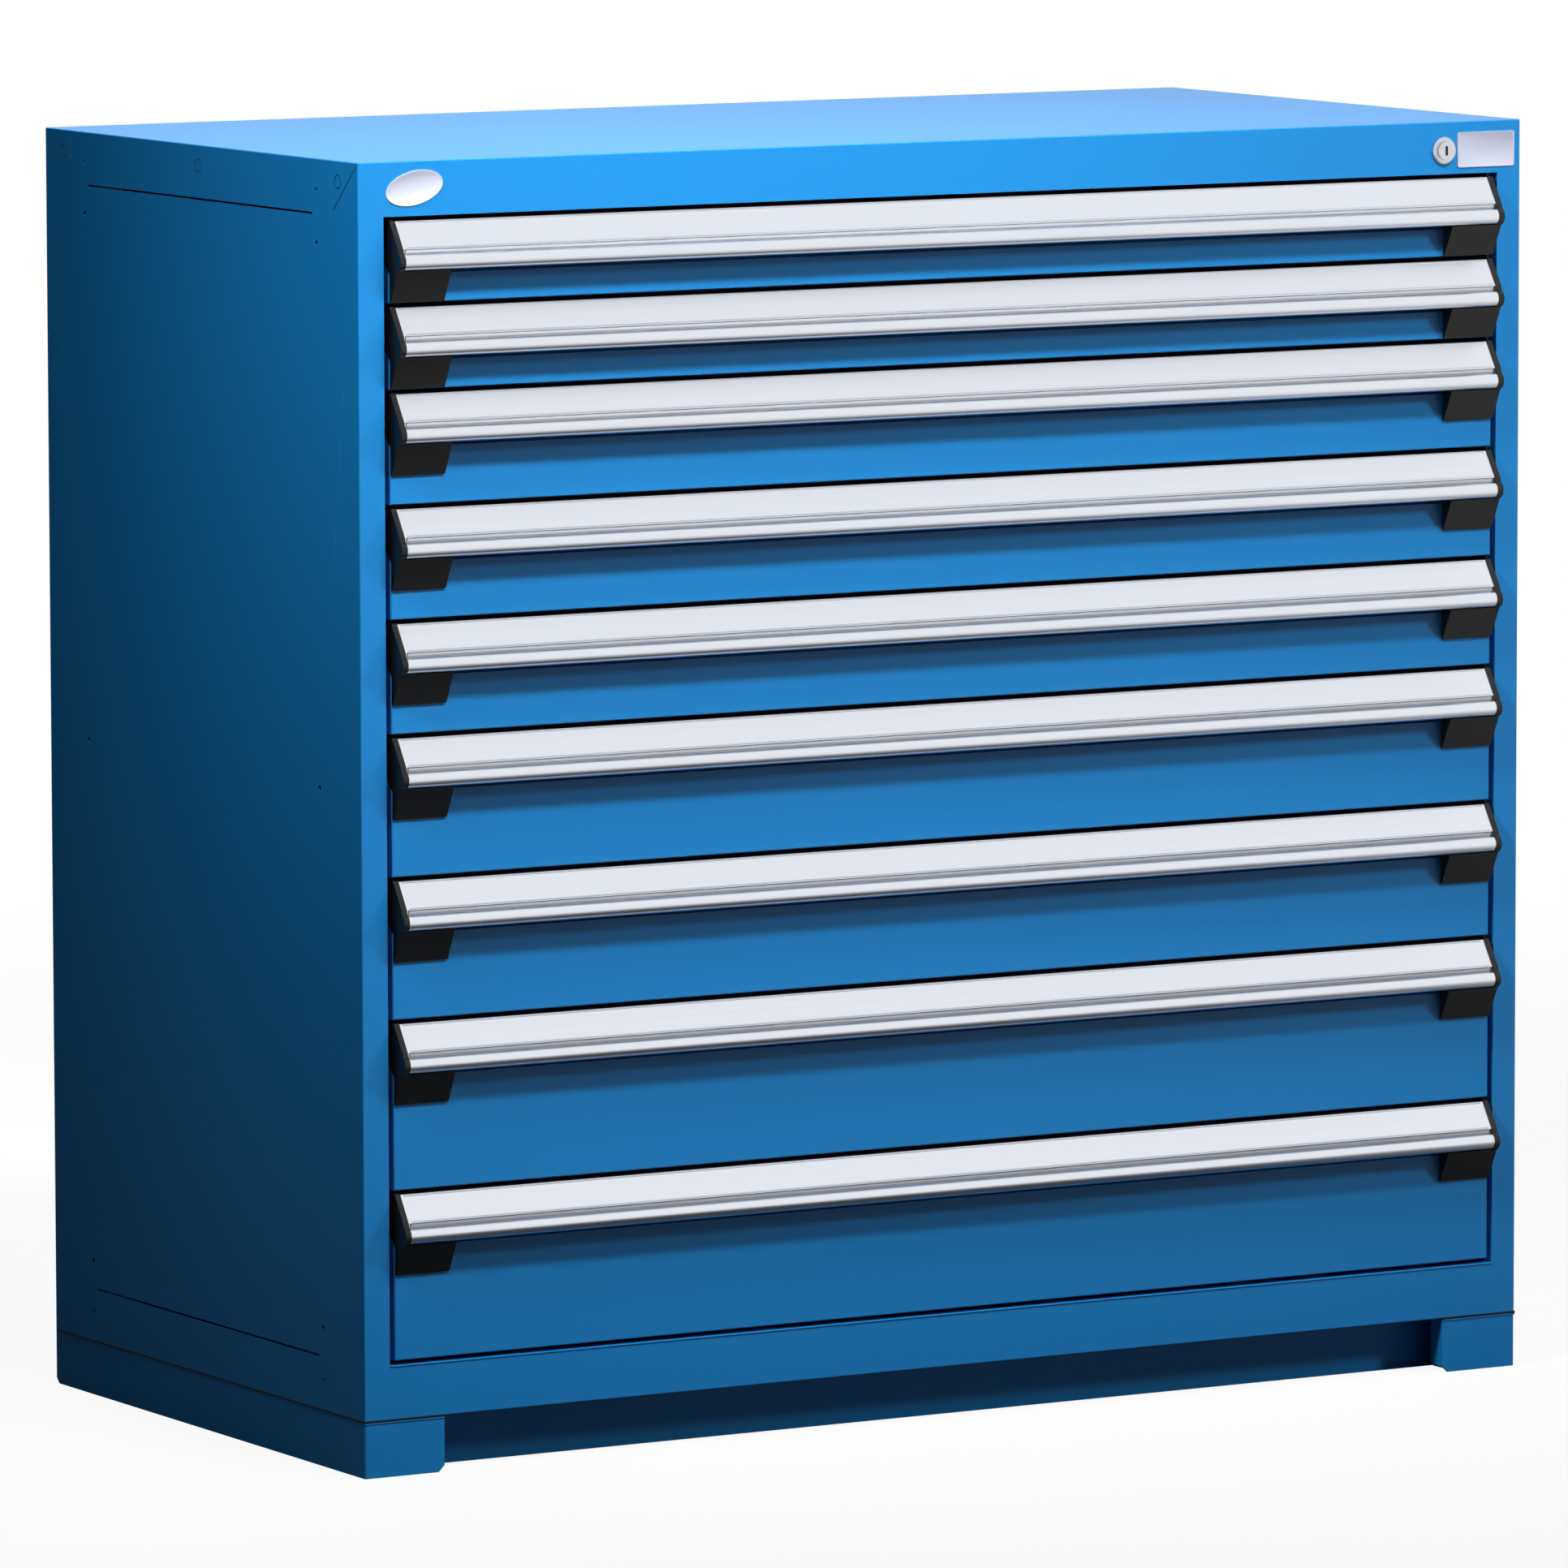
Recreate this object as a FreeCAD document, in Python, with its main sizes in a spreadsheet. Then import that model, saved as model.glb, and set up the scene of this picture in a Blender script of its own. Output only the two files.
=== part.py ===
import FreeCAD, Part
import math
import os
import Sketcher

# Heavy-duty modular drawer cabinet: a steel housing on a low base, with nine full-width drawers.
# Frame: X to the right, Y to the back, Z up, in millimetres. The origin is on the floor, in the
# middle of the whole cabinet's footprint, handles included.

# Driving sizes
SIZES = {
    # Housing
    "cabinet_width": 1219.2,
    "cabinet_depth": 609.6,
    "base_height": 50.8,
    "top_rail_height": 48.4,
    "bottom_rail_height": 49.0,
    "stile_width": 25.4,
    "height_step": 25.4,
    "drawer_gap": 4.2,
    "housing_sheet": 1.5,
    "frame_return_depth": 12.0,
    "panel_flange": 14.0,
    "side_flange": 18.0,
    # Side panels
    "slit_inset": 86.0,
    "slit_height": 2.0,
    "slit_reach": 510.1,
    "hole_inset": 78.0,
    "outer_hole_reach": 531.2,
    "bolt_hole_reach": 484.0,
    "outer_hole_radius": 2.0,
    "bolt_hole_radius": 2.5,
    # Base
    "base_sheet": 2.5,
    "base_flange": 25.0,
    "foot_width": 80.0,
    "foot_return": 20.0,
    "foot_corner": 6.0,
    "rail_chamfer": 5.0,
    "kick_setback": 40.0,
    "base_corner_radius": 2.2,
    # Uprights and fixed rails
    "upright_front": 20.0,
    "upright_depth": 40.0,
    "upright_rear": 500.0,
    "upright_width": 21.7,
    "upright_sheet": 2.0,
    "upright_slot_height": 12.0,
    "upright_slot_width": 5.0,
    "rail_front": 30.0,
    "rail_back": 540.0,
    "rail_width": 9.4,
    "rail_sheet": 2.0,
    "slide_drop": 52.0,
    # Carriages
    "carriage_height": 30.0,
    "carriage_web": 2.5,
    "carriage_flange": 2.0,
    "carriage_clearance": 0.3,
    "carriage_side_clearance": 0.7,
    "carriage_gap": 1.3,
    "carriage_front": 50.0,
    "carriage_back": 510.0,
    # Drawers
    "drawer_side_gap": 5.5,
    "drawer_sheet": 1.2,
    "recess_depth": 10.0,
    "recess_bottom": 45.8,
    "front_edge_bevel": 0.8,
    "box_rim_drop": 14.0,
    "box_floor_rise": 8.0,
    "box_back": 540.0,
    "channel_width": 12.0,
    "channel_start": 14.0,
    "channel_sheet": 1.5,
    # Handle
    "handle_wall": 2.0,
    "label_reach": 15.5,
    "label_drop": 23.6,
    "groove_depth": 1.8,
    "groove_height": 4.1,
    "nose_radius": 7.5,
    "lip_run": 1.5,
    "hook_drop": 26.0,
    # End caps
    "cap_plate": 5.4,
    "cap_rim": 0.8,
    "cap_length": 53.7,
    "cap_drop": 75.7,
    "cap_foot_reach": 2.0,
    "cap_handle_gap": 0.5,
    # Lock
    "lock_inset": 84.6,
    "lock_top_drop": 26.4,
    "lock_ring_radius": 12.5,
    "lock_ring_reach": 3.0,
    "lock_ring_bevel": 1.2,
    "lock_barrel_radius": 9.5,
    "lock_barrel_depth": 12.5,
    "lock_fit": 0.1,
    "plug_radius": 6.0,
    "plug_face_radius": 8.5,
    "plug_face_gap": 0.3,
    "plug_face_reach": 2.2,
    "keyway_width": 1.6,
    "keyway_height": 8.0,
    "keyway_depth": 1.8,
    "cam_gap": 0.5,
    "cam_sheet": 2.4,
    "cam_hub_radius": 7.0,
    "crank_pin_radius": 2.0,
    "bar_travel": 10.0,
    "bar_gap": 0.3,
    "bar_sheet": 3.5,
    "bar_inset": 1.0,
    "bar_width": 14.0,
    "bar_arm_height": 18.0,
    "bar_arm_overhang": 8.0,
    "bar_tail": 60.0,
    "pin_play": 0.5,
    "hook_sheet": 2.5,
    "hook_height": 8.0,
    "hook_top_drop": 10.0,
    "hook_inset": 5.2,
    "catch_reach": 17.0,
    "catch_gap": 0.8,
    "catch_sheet": 3.0,
    "catch_foot_length": 20.0,
    "lug_width": 6.0,
    "lug_head_width": 10.0,
    "lug_head_sheet": 1.7,
    "lug_drop": 45.0,
}
# Drawer heights from the top down, in height steps
DRAWER_UNITS = (3, 3, 4, 4, 4, 5, 5, 6, 6)
# Edge radius as a share of the sheet that it rounds
EDGE_SHARE = 0.85
# Angles in degrees where the end cap's nose starts and ends, from straight out to the front
CAP_NOSE_START = 60.0
CAP_NOSE_END = -74.0
# Slope of the drawer front under its recess
SLOPE_ANGLE = 45.0
# Crank angle above level when the lock is open; a quarter turn takes it as far below level
CRANK_ANGLE = 45.0

doc = FreeCAD.newDocument("drawer_cabinet")
sheet = doc.addObject("Spreadsheet::Sheet", "Sizes")
nodes = []


# Sizes that carry their own expression
class Size:
    """A length, or a sum of lengths, with the sheet expression that gives it."""

    def __init__(self, value, text):
        self.value = value
        self.text = text

    def __add__(self, other):
        return Size(self.value + number(other), "(%s + %s)" % (self.text, words(other)))

    def __radd__(self, other):
        return self + other

    def __sub__(self, other):
        return Size(self.value - number(other), "(%s - %s)" % (self.text, words(other)))

    def __neg__(self):
        return Size(-self.value, "(0 - %s)" % self.text)

    def __mul__(self, other):
        return Size(self.value * number(other), "(%s * %s)" % (self.text, words(other)))

    def __rmul__(self, other):
        return self * other

    def __truediv__(self, other):
        return Size(self.value / number(other), "(%s / %s)" % (self.text, words(other)))


def number(size):
    return size.value if isinstance(size, Size) else float(size)


def words(size):
    return size.text if isinstance(size, Size) else repr(size)


def root(size):
    return Size(math.sqrt(size.value), "sqrt(%s)" % size.text)


def size(alias):
    return Size(SIZES[alias], "Sizes." + alias)


for row, (alias, length) in enumerate(SIZES.items(), start=1):
    cell = "A%d" % row
    sheet.set(cell, str(length))
    sheet.setAlias(cell, alias)
doc.recompute()


# Construction helpers
def bind(item, name, length):
    """Tie a property to the sheet; a bare zero needs no tie."""
    if isinstance(length, Size):
        item.setExpression(name, length.text)


def place(item, across=0, back=0, up=0):
    bind(item, "Placement.Base.x", across)
    bind(item, "Placement.Base.y", back)
    bind(item, "Placement.Base.z", up)
    return item


def new_body(label):
    body = doc.addObject("PartDesign::Body", label)
    body.Label = label
    return body


def new_sketch(body, role, offset=0):
    drawing = body.newObject("Sketcher::SketchObject", body.Name + "_sketch")
    planes = [plane for plane in body.Origin.OriginFeatures if plane.Role == role]
    drawing.AttachmentSupport = [(planes[0], "")]
    drawing.MapMode = "FlatFace"
    bind(drawing, "AttachmentOffset.Base.z", offset)
    return drawing


def pin(drawing, edge, end, across, up):
    """Hold one point of the sketch at its two places; None leaves a place to the arc beside it."""
    for kind, length, axis in (("DistanceX", across, -2), ("DistanceY", up, -1)):
        if isinstance(length, Size):
            held = drawing.addConstraint(Sketcher.Constraint(kind, -1, 1, edge, end, length.value))
            drawing.setExpression("Constraints[%d]" % held, length.text)
        elif length is not None:
            drawing.addConstraint(Sketcher.Constraint("PointOnObject", edge, end, axis))


def add_outline(drawing, corners, arcs=None):
    """Closed outline. arcs maps a corner to the (centre, clockwise) of the arc that starts there."""
    arcs = arcs or {}
    first = drawing.GeometryCount
    count = len(corners)
    points = [FreeCAD.Vector(number(across), number(up), 0) for across, up in corners]
    ends = []
    for turn in range(count):
        start = points[turn]
        finish = points[(turn + 1) % count]
        if turn in arcs:
            centre = FreeCAD.Vector(number(arcs[turn][0][0]), number(arcs[turn][0][1]), 0)
            circle = Part.Circle(centre, FreeCAD.Vector(0, 0, 1), (start - centre).Length)
            low, high = (finish, start) if arcs[turn][1] else (start, finish)
            angles = [math.atan2(point.y - centre.y, point.x - centre.x) for point in (low, high)]
            drawing.addGeometry(Part.ArcOfCircle(circle, angles[0], angles[1]), False)
            ends.append((2, 1) if arcs[turn][1] else (1, 2))
        else:
            drawing.addGeometry(Part.LineSegment(start, finish), False)
            ends.append((1, 2))
    for turn in range(count):
        after = (turn + 1) % count
        joint = Sketcher.Constraint("Coincident", first + turn, ends[turn][1], first + after, ends[after][0])
        drawing.addConstraint(joint)
    for turn in range(count):
        across, up = corners[turn]
        before = (turn - 1) % count
        if before in arcs:
            centre = arcs[before][0]
            sideways = abs(number(across) - number(centre[0])) > abs(number(up) - number(centre[1]))
            across, up = (None, up) if sideways else (across, None)
        pin(drawing, first + turn, ends[turn][0], across, up)
        if turn in arcs:
            pin(drawing, first + turn, 3, arcs[turn][0][0], arcs[turn][0][1])


def add_rectangle(drawing, left, right, low, high):
    add_outline(drawing, [(left, low), (right, low), (right, high), (left, high)])


def add_circle(drawing, across, up, radius):
    centre = FreeCAD.Vector(number(across), number(up), 0)
    edge = drawing.addGeometry(Part.Circle(centre, FreeCAD.Vector(0, 0, 1), radius.value), False)
    pin(drawing, edge, 3, across, up)
    held = drawing.addConstraint(Sketcher.Constraint("Radius", edge, radius.value))
    drawing.setExpression("Constraints[%d]" % held, radius.text)


def pad(body, drawing, length, both_ways=False, backwards=False):
    feature = body.newObject("PartDesign::Pad", body.Name + "_pad")
    feature.Profile = drawing
    feature.SideType = "Symmetric" if both_ways else "One side"
    feature.Reversed = backwards
    bind(feature, "Length", length)
    return feature


def pocket(body, drawing, length=None, both_ways=False, backwards=False):
    feature = body.newObject("PartDesign::Pocket", body.Name + "_pocket")
    feature.Profile = drawing
    feature.SideType = "Symmetric" if both_ways else "One side"
    feature.Reversed = backwards
    if length is None:
        feature.Type = "ThroughAll"
    else:
        bind(feature, "Length", length)
    return feature


def find_edges(body, wanted):
    """The edges of the body's last feature whose middle and extent pass the test."""
    doc.recompute()
    names = []
    for rank, edge in enumerate(body.Tip.Shape.Edges, start=1):
        if wanted(edge.BoundBox.Center, edge.BoundBox):
            names.append("Edge%d" % rank)
    return body.Tip, names


def round_edges(body, radius, wanted):
    picked = find_edges(body, wanted)
    feature = body.newObject("PartDesign::Fillet", body.Name + "_rounding")
    feature.Base = picked
    bind(feature, "Radius", radius)


def bevel_edges(body, width, wanted):
    picked = find_edges(body, wanted)
    feature = body.newObject("PartDesign::Chamfer", body.Name + "_bevel")
    feature.Base = picked
    bind(feature, "Size", width)


def near(one, other):
    return abs(one - number(other)) < TOLERANCE


def box(label, left, right, front, back, low, high):
    block = doc.addObject("Part::Box", label)
    bind(block, "Length", right - left)
    bind(block, "Width", back - front)
    bind(block, "Height", high - low)
    return place(block, left, front, low)


def fuse(label, items):
    joined = doc.addObject("Part::MultiFuse", label)
    joined.Shapes = items
    return joined


def mirror(label, item):
    twin = doc.addObject("Part::Mirroring", label)
    twin.Source = item
    twin.Base = (0, 0, 0)
    twin.Normal = (1, 0, 0)
    return twin


def group(label, items):
    bundle = doc.addObject("Part::Compound", label)
    bundle.Links = items
    return bundle


def keep(item, label=None):
    """Name a finished piece of the cabinet."""
    if label is not None:
        item.Label = label
    nodes.append(item)
    return item


# Smallest distance at which two places count as different, a ten thousandth of the width
TOLERANCE = SIZES["cabinet_width"] / 10000

# Main planes of the housing
projection = size("label_reach") - size("groove_depth") + size("nose_radius") + size("cap_rim")
front = (projection - size("cabinet_depth")) / 2
back = front + size("cabinet_depth")
half_width = size("cabinet_width") / 2
inner_width = half_width - size("housing_sheet")
opening_half = half_width - size("stile_width")
opening_height = sum(DRAWER_UNITS) * size("height_step") + size("drawer_gap")
opening_low = size("base_height") + size("bottom_rail_height")
opening_high = opening_low + opening_height
cabinet_height = opening_high + size("top_rail_height")
panel_top = cabinet_height - size("housing_sheet")
panel_low = size("base_height")
floor_top = panel_low + size("housing_sheet")
flange_half = inner_width - size("side_flange")

# Top line of each drawer's place in the opening
drawer_tops = [opening_high]
for units in DRAWER_UNITS:
    drawer_tops.append(drawer_tops[-1] - units * size("height_step"))

# The lock bar is guided beside the first, the middle and the last drawer
guided_drawers = (1, (len(DRAWER_UNITS) + 1) // 2, len(DRAWER_UNITS))

# Lock place
lock_across = half_width - size("lock_inset")
lock_up = cabinet_height - size("lock_top_drop")


# Housing
def make_front_frame():
    body = new_body("front_frame")
    plate = new_sketch(body, "XZ_Plane")
    add_rectangle(plate, -half_width, half_width, panel_low, cabinet_height)
    add_circle(plate, lock_across, lock_up, size("lock_barrel_radius") + size("lock_fit"))
    pad(body, plate, size("housing_sheet"), backwards=True)
    returns = new_sketch(body, "XZ_Plane")
    rim = size("housing_sheet")
    add_rectangle(returns, -opening_half - rim, opening_half + rim, opening_low - rim, opening_high + rim)
    pad(body, returns, size("frame_return_depth"), backwards=True)
    opening = new_sketch(body, "XZ_Plane")
    add_rectangle(opening, -opening_half, opening_half, opening_low, opening_high)
    pocket(body, opening, both_ways=True)

    def outer_edge(middle, extent):
        flat = near(extent.YMax, 0) and near(extent.YMin, 0)
        sides = near(abs(middle.x), half_width)
        ends = near(middle.z, panel_low) or near(middle.z, cabinet_height)
        return flat and (sides or ends)

    round_edges(body, size("housing_sheet") * EDGE_SHARE, outer_edge)
    place(body, 0, front, 0)
    return keep(body)


def make_side_panel():
    body = new_body("right_side_panel")
    web = new_sketch(body, "XY_Plane", panel_low)
    web_front = size("housing_sheet")
    add_rectangle(web, inner_width, half_width, web_front, size("cabinet_depth"))
    pad(body, web, panel_top - panel_low)
    flanges = new_sketch(body, "XY_Plane", floor_top)
    flange_back = size("cabinet_depth") - size("housing_sheet")
    add_rectangle(flanges, flange_half, inner_width, web_front, 2 * web_front)
    add_rectangle(flanges, flange_half, inner_width, flange_back - size("housing_sheet"), flange_back)
    pad(body, flanges, panel_top - floor_top)
    cuts = new_sketch(body, "YZ_Plane", inner_width)
    middle = (panel_low + cabinet_height) / 2
    half_slit = size("slit_height") / 2
    for side in (-1, 1):
        level = middle + side * size("slit_reach")
        slit_back = size("cabinet_depth") - size("slit_inset")
        add_rectangle(cuts, size("slit_inset"), slit_back, level - half_slit, level + half_slit)
    for hole_depth in (size("hole_inset"), size("cabinet_depth") - size("hole_inset")):
        add_circle(cuts, hole_depth, middle, size("bolt_hole_radius"))
        for side in (-1, 1):
            add_circle(cuts, hole_depth, middle + side * size("bolt_hole_reach"), size("bolt_hole_radius"))
            add_circle(cuts, hole_depth, middle + side * size("outer_hole_reach"), size("outer_hole_radius"))
    pocket(body, cuts, both_ways=True)
    place(body, 0, front, 0)
    keep(body)
    return keep(mirror("left_side_panel", body))


def make_top_panel():
    body = new_body("top_panel")
    plate = new_sketch(body, "XY_Plane", panel_top)
    add_rectangle(plate, -half_width, half_width, size("housing_sheet"), size("cabinet_depth"))
    pad(body, plate, size("housing_sheet"))
    flanges = new_sketch(body, "XY_Plane", panel_top)
    web_front = size("housing_sheet")
    flange_back = size("cabinet_depth") - size("housing_sheet")
    add_rectangle(flanges, -flange_half, flange_half, web_front, 2 * web_front)
    add_rectangle(flanges, -flange_half, flange_half, flange_back - size("housing_sheet"), flange_back)
    pad(body, flanges, size("panel_flange"), backwards=True)

    def outer_edge(middle, extent):
        level = near(extent.ZMin, cabinet_height) and near(extent.ZMax, cabinet_height)
        sides = near(abs(middle.x), half_width)
        return level and (sides or near(middle.y, size("cabinet_depth")))

    round_edges(body, size("housing_sheet") * EDGE_SHARE, outer_edge)
    place(body, 0, front, 0)
    return keep(body)


def make_bottom_panel():
    body = new_body("bottom_panel")
    web_front = size("housing_sheet")
    flange_back = size("cabinet_depth") - size("housing_sheet")
    plate = new_sketch(body, "XY_Plane", panel_low)
    add_rectangle(plate, -inner_width, inner_width, web_front, flange_back)
    pad(body, plate, size("housing_sheet"))
    flanges = new_sketch(body, "XY_Plane", floor_top)
    add_rectangle(flanges, -flange_half, flange_half, web_front, 2 * web_front)
    add_rectangle(flanges, -flange_half, flange_half, flange_back - size("housing_sheet"), flange_back)
    pad(body, flanges, size("panel_flange"))
    place(body, 0, front, 0)
    return keep(body)


def make_back_panel():
    panel = box(
        "back_panel", -inner_width, inner_width, back - size("housing_sheet"), back, panel_low, panel_top
    )
    return keep(panel)


# Uprights and fixed rails
def make_uprights():
    body = new_body("right_front_upright")
    outer = inner_width
    inner = inner_width - size("upright_width")
    wall = size("upright_sheet")
    depth = size("upright_depth")
    profile = new_sketch(body, "XY_Plane", floor_top)
    corners = [(inner, 0), (outer, 0), (outer, wall), (inner + wall, wall)]
    corners += [(inner + wall, depth - wall), (outer, depth - wall), (outer, depth), (inner, depth)]
    add_outline(profile, corners)
    pad(body, profile, panel_top - floor_top)
    slots = new_sketch(body, "YZ_Plane", inner + wall / 2)
    half_slot = size("upright_slot_height") / 2
    half_slot_width = size("upright_slot_width") / 2
    for top in drawer_tops[:-1]:
        level = top - size("height_step") / 2
        add_rectangle(slots, depth / 2 - half_slot_width, depth / 2 + half_slot_width,
                      level - half_slot, level + half_slot)
    pocket(body, slots, wall * 2, both_ways=True)
    place(body, 0, front + size("upright_front"), 0)
    rear = place(group("right_rear_upright", [body]), 0, size("upright_rear") - size("upright_front"), 0)
    face = front + size("upright_front")
    neck_face = face - size("bar_gap") - size("bar_sheet") - size("bar_gap")
    head_face = neck_face - size("lug_head_sheet")
    bar_middle = inner + size("bar_inset") + size("bar_width") / 2
    lugs = []
    for drawer in guided_drawers:
        level = drawer_tops[drawer - 1] - size("lug_drop")
        for part, half, nearest, farthest in (
            ("neck", size("lug_width") / 2, neck_face, face),
            ("head", size("lug_head_width") / 2, head_face, neck_face),
        ):
            lugs.append(box("lug_%s_%d" % (part, drawer), bar_middle - half, bar_middle + half,
                            nearest, farthest, level - half, level + half))
    lugged = fuse("right_front_upright_with_lugs", [body] + lugs)
    left = [mirror("left_front_upright", body), mirror("left_rear_upright", rear)]
    return keep(group("uprights", [lugged, rear] + left))


def make_cabinet_rails():
    body = new_body("fixed_rail")
    outer = inner_width - size("upright_width")
    inner = outer - size("rail_width")
    wall = size("rail_sheet")
    reach = size("carriage_height") / 2 + size("carriage_clearance")
    profile = new_sketch(body, "XZ_Plane", -size("rail_front"))
    corners = [(outer, -reach - wall), (outer, reach + wall), (inner, reach + wall), (inner, reach)]
    corners += [(outer - wall, reach), (outer - wall, -reach), (inner, -reach), (inner, -reach - wall)]
    add_outline(profile, corners)
    pad(body, profile, size("rail_back") - size("rail_front"), backwards=True)
    left = mirror("fixed_rail_left", body)
    pairs = []
    for drawer, top in enumerate(drawer_tops[:-1], start=1):
        pair = group("fixed_rails_%d" % drawer, [body, left])
        pairs.append(place(pair, 0, front, top - size("slide_drop")))
    return keep(group("cabinet_rails", pairs))


# Base
def make_base_side_rails():
    body = new_body("right_base_rail")
    wall = size("base_sheet")
    inner = half_width - wall
    foot_inner = half_width - size("foot_width")
    flange_inner = inner - size("base_flange")
    plan = new_sketch(body, "XY_Plane")
    corners = [(half_width, 0), (half_width, size("cabinet_depth")), (inner, size("cabinet_depth"))]
    corners += [(inner, wall), (foot_inner + wall, wall), (foot_inner + wall, size("foot_return"))]
    corners += [(foot_inner, size("foot_return")), (foot_inner, 0)]
    add_outline(plan, corners)
    pad(body, plan, size("base_height"))
    for level, backwards in ((0, False), (size("base_height"), True)):
        flange = new_sketch(body, "XY_Plane", level)
        add_rectangle(flange, flange_inner, inner, wall, size("cabinet_depth") - wall)
        pad(body, flange, wall, backwards=backwards)
    heel = new_sketch(body, "YZ_Plane")
    heel_back = size("cabinet_depth")
    chamfer = size("rail_chamfer")
    add_outline(heel, [(heel_back - chamfer, 0), (heel_back, 0), (heel_back, chamfer)])
    pocket(body, heel, both_ways=True)
    toe = new_sketch(body, "XZ_Plane")
    corner = size("foot_corner")
    add_outline(toe, [(foot_inner, 0), (foot_inner + corner, 0), (foot_inner, corner)])
    pocket(body, toe, both_ways=True)

    def outer_corner(middle, extent):
        return near(extent.XMin, half_width) and near(extent.YMax, 0)

    round_edges(body, size("base_corner_radius"), outer_corner)
    place(body, 0, front, 0)
    return keep(group("base_side_rails", [body, mirror("left_base_rail", body)]))


def make_base_cross_rails():
    wall = size("base_sheet")
    depth = size("base_flange")
    flange_half_width = half_width - wall - size("base_flange")
    for label, place_back, web_half, turn in (
        ("kick_plate", size("kick_setback"), flange_half_width, 1),
        ("rear_base_rail", size("cabinet_depth"), half_width - wall, -1),
    ):
        body = new_body(label)
        web = new_sketch(body, "YZ_Plane")
        add_rectangle(web, 0, turn * wall, 0, size("base_height"))
        pad(body, web, 2 * web_half, both_ways=True)
        flanges = new_sketch(body, "YZ_Plane")
        add_rectangle(flanges, turn * wall, turn * depth, 0, wall)
        add_rectangle(flanges, turn * wall, turn * depth, size("base_height") - wall, size("base_height"))
        pad(body, flanges, 2 * flange_half_width, both_ways=True)
        keep(place(body, 0, front + place_back, 0))


# Drawer slides
def make_carriages():
    body = new_body("carriage")
    web_outer = inner_width - size("upright_width") - size("rail_width") - size("carriage_gap")
    web_inner = web_outer - size("carriage_web")
    outer = inner_width - size("upright_width") - size("rail_sheet") - size("carriage_side_clearance")
    inner = box_half + size("channel_sheet") + size("carriage_side_clearance")
    high = size("carriage_height") / 2
    low = high - size("carriage_flange")
    profile = new_sketch(body, "XZ_Plane", -size("carriage_front"))
    corners = [(inner, high), (inner, low), (web_inner, low), (web_inner, -low), (inner, -low)]
    corners += [(inner, -high), (outer, -high), (outer, -low), (web_outer, -low), (web_outer, low)]
    corners += [(outer, low), (outer, high)]
    add_outline(profile, corners)
    pad(body, profile, size("carriage_back") - size("carriage_front"), backwards=True)
    left = mirror("carriage_left", body)
    for drawer, top in enumerate(drawer_tops[:-1], start=1):
        pair = group("slide_%d_carriage" % drawer, [body, left])
        keep(place(pair, 0, front, top - size("slide_drop")))


# Drawers
front_half = opening_half - size("drawer_side_gap")
carriage_inner = (
    inner_width - size("upright_width") - size("rail_width") - size("carriage_gap") - size("carriage_web")
)
box_half = carriage_inner - size("carriage_gap") - size("channel_width")
box_front = size("recess_depth") + size("drawer_sheet")


def make_catch():
    body = new_body("catch")
    inner = box_half
    foot = inner + size("catch_sheet")
    tip = inner + size("catch_reach")
    catch_back = catch_front + size("catch_sheet")
    foot_back = catch_front + size("catch_foot_length")
    locked_top = -size("hook_top_drop") - size("bar_travel")
    plan = new_sketch(body, "XY_Plane", locked_top - size("hook_height"))
    corners = [(inner, catch_front), (tip, catch_front), (tip, catch_back), (foot, catch_back)]
    add_outline(plan, corners + [(foot, foot_back), (inner, foot_back)])
    pad(body, plan, size("hook_height"))
    return body


def make_drawer_box(drawer, top, drawer_height, catch):
    body = new_body("drawer_%d_tray" % drawer)
    wall = size("drawer_sheet")
    floor = size("box_floor_rise") - drawer_height
    tray = new_sketch(body, "XY_Plane", floor)
    add_rectangle(tray, -box_half, box_half, box_front, size("box_back"))
    pad(body, tray, -size("box_rim_drop") - floor)
    room = new_sketch(body, "XY_Plane", floor + wall)
    add_rectangle(room, wall - box_half, box_half - wall, box_front + wall, size("box_back") - wall)
    pocket(body, room, backwards=True)
    reach = size("carriage_height") / 2 + size("carriage_clearance")
    sheet_wall = size("channel_sheet")
    channels = new_sketch(body, "XZ_Plane", -size("channel_start"))
    level = -size("slide_drop")
    edge = box_half + size("channel_width")
    inside = box_half + sheet_wall
    for side in (-1, 1):
        corners = [(side * box_half, level - reach - sheet_wall), (side * edge, level - reach - sheet_wall)]
        corners += [(side * edge, level - reach), (side * inside, level - reach)]
        corners += [(side * inside, level + reach), (side * edge, level + reach)]
        corners += [(side * edge, level + reach + sheet_wall), (side * box_half, level + reach + sheet_wall)]
        add_outline(channels, corners)
    pad(body, channels, size("box_back") - size("channel_start"), backwards=True)
    return keep(place(group("drawer_%d_box" % drawer, [body, catch]), 0, front, top))


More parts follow.
